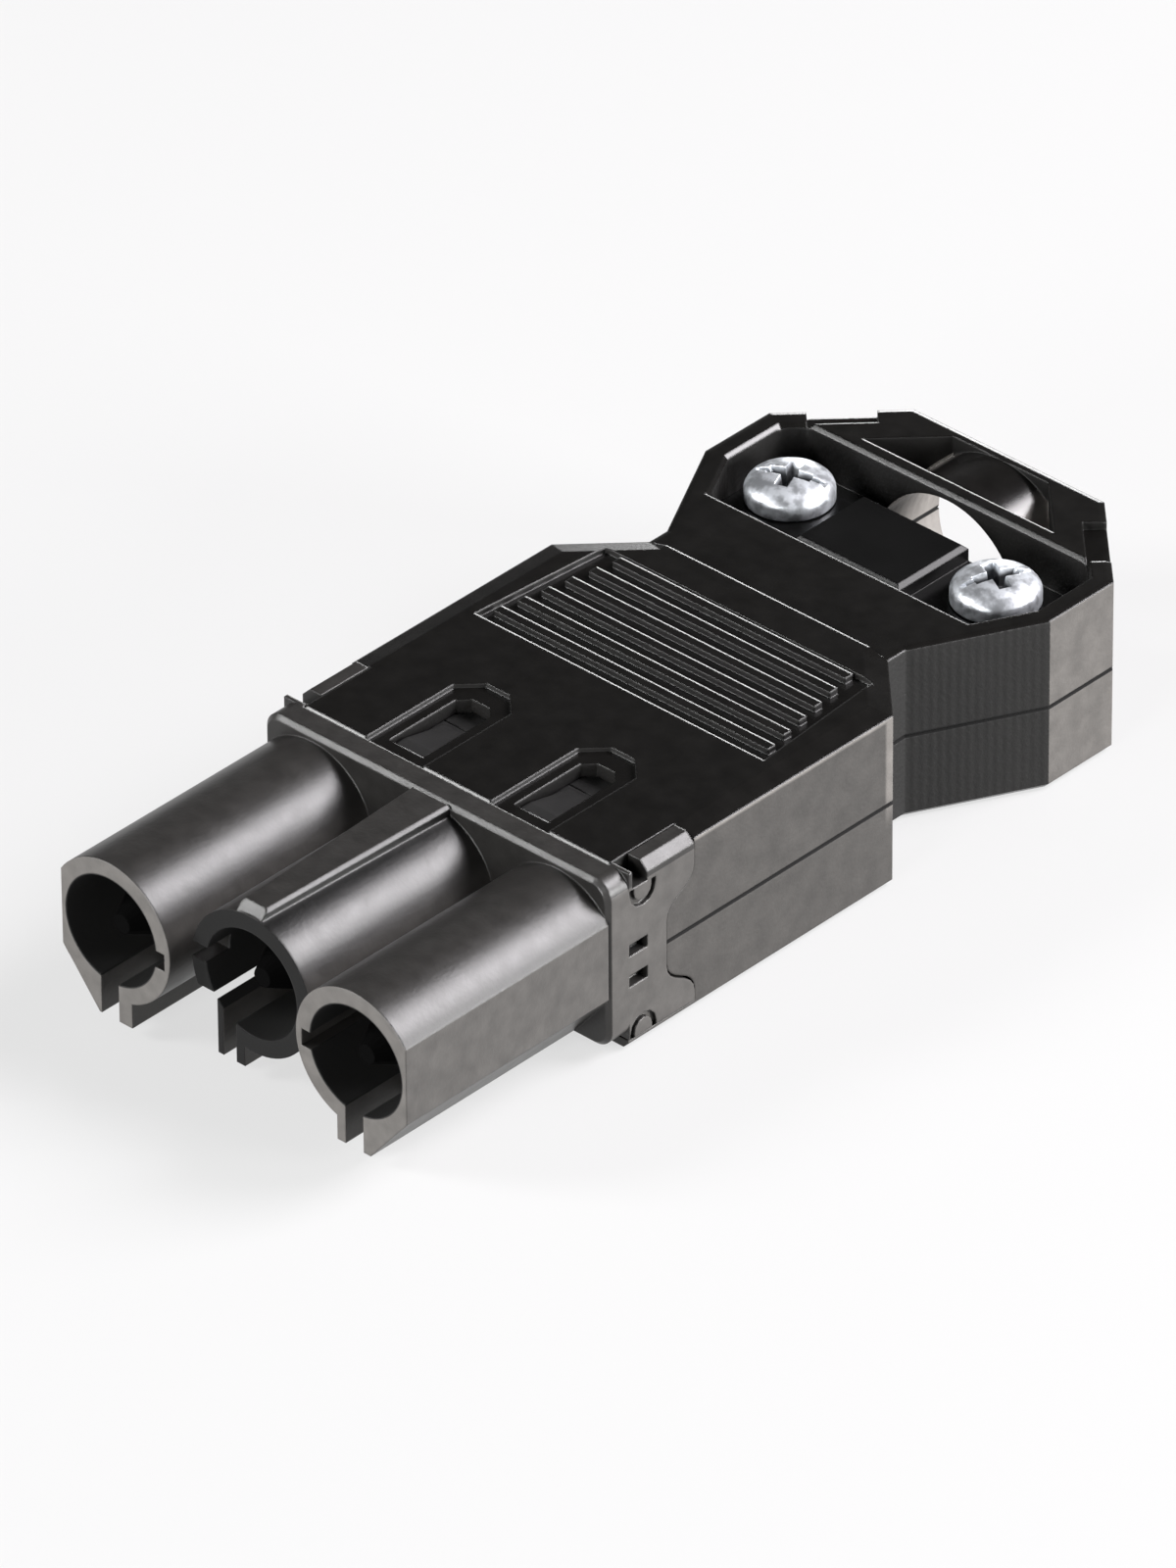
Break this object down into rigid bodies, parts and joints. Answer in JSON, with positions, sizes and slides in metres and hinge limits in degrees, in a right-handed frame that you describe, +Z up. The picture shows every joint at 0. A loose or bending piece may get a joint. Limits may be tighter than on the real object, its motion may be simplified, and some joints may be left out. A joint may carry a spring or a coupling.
{
  "type": "three-pole installation connector",
  "caption": "Male mains installation connector with tube-shrouded contacts and a screw-clamp cable housing.",
  "frame": {"origin": "under the middle of the part, on the plane that its flat underside rests on", "axes": "+X across the three poles, +Y from the mating mouths towards the cable end, +Z up"},
  "size_m": [0.0282, 0.0688, 0.0126],
  "materials": {
    "carrier_plastic": "black moulded polyamide, satin gloss",
    "shell_plastic": "black moulded polyamide, satin gloss",
    "bar_plastic": "black moulded polyamide, satin gloss",
    "tip_plastic": "black moulded insulating tip",
    "contact_metal": "turned brass, tinned",
    "terminal_brass": "bright stamped brass",
    "spring_steel": "plain spring steel",
    "zinc_steel": "bright zinc-plated steel"
  },
  "bodies": {
    "root": {"cable_clamp_bar": "bar_plastic", "carrier_cover": "carrier_plastic", "contact_carrier": "carrier_plastic", "earth_pin": "contact_metal", "earth_pin_tip": "tip_plastic", "earth_terminal_cage": "terminal_brass", "earth_terminal_screw": "zinc_steel", "earth_wire_guard": "spring_steel", "left_clamp_nut": "zinc_steel", "left_clamp_screw": "zinc_steel", "line_pin": "contact_metal", "line_pin_tip": "tip_plastic", "line_terminal_cage": "terminal_brass", "line_terminal_screw": "zinc_steel", "line_wire_guard": "spring_steel", "lower_shell": "shell_plastic", "neutral_pin": "contact_metal", "neutral_pin_tip": "tip_plastic", "neutral_terminal_cage": "terminal_brass", "neutral_terminal_screw": "zinc_steel", "neutral_wire_guard": "spring_steel", "right_clamp_nut": "zinc_steel", "right_clamp_screw": "zinc_steel", "upper_shell": "shell_plastic"}
  },
  "joints": []
}
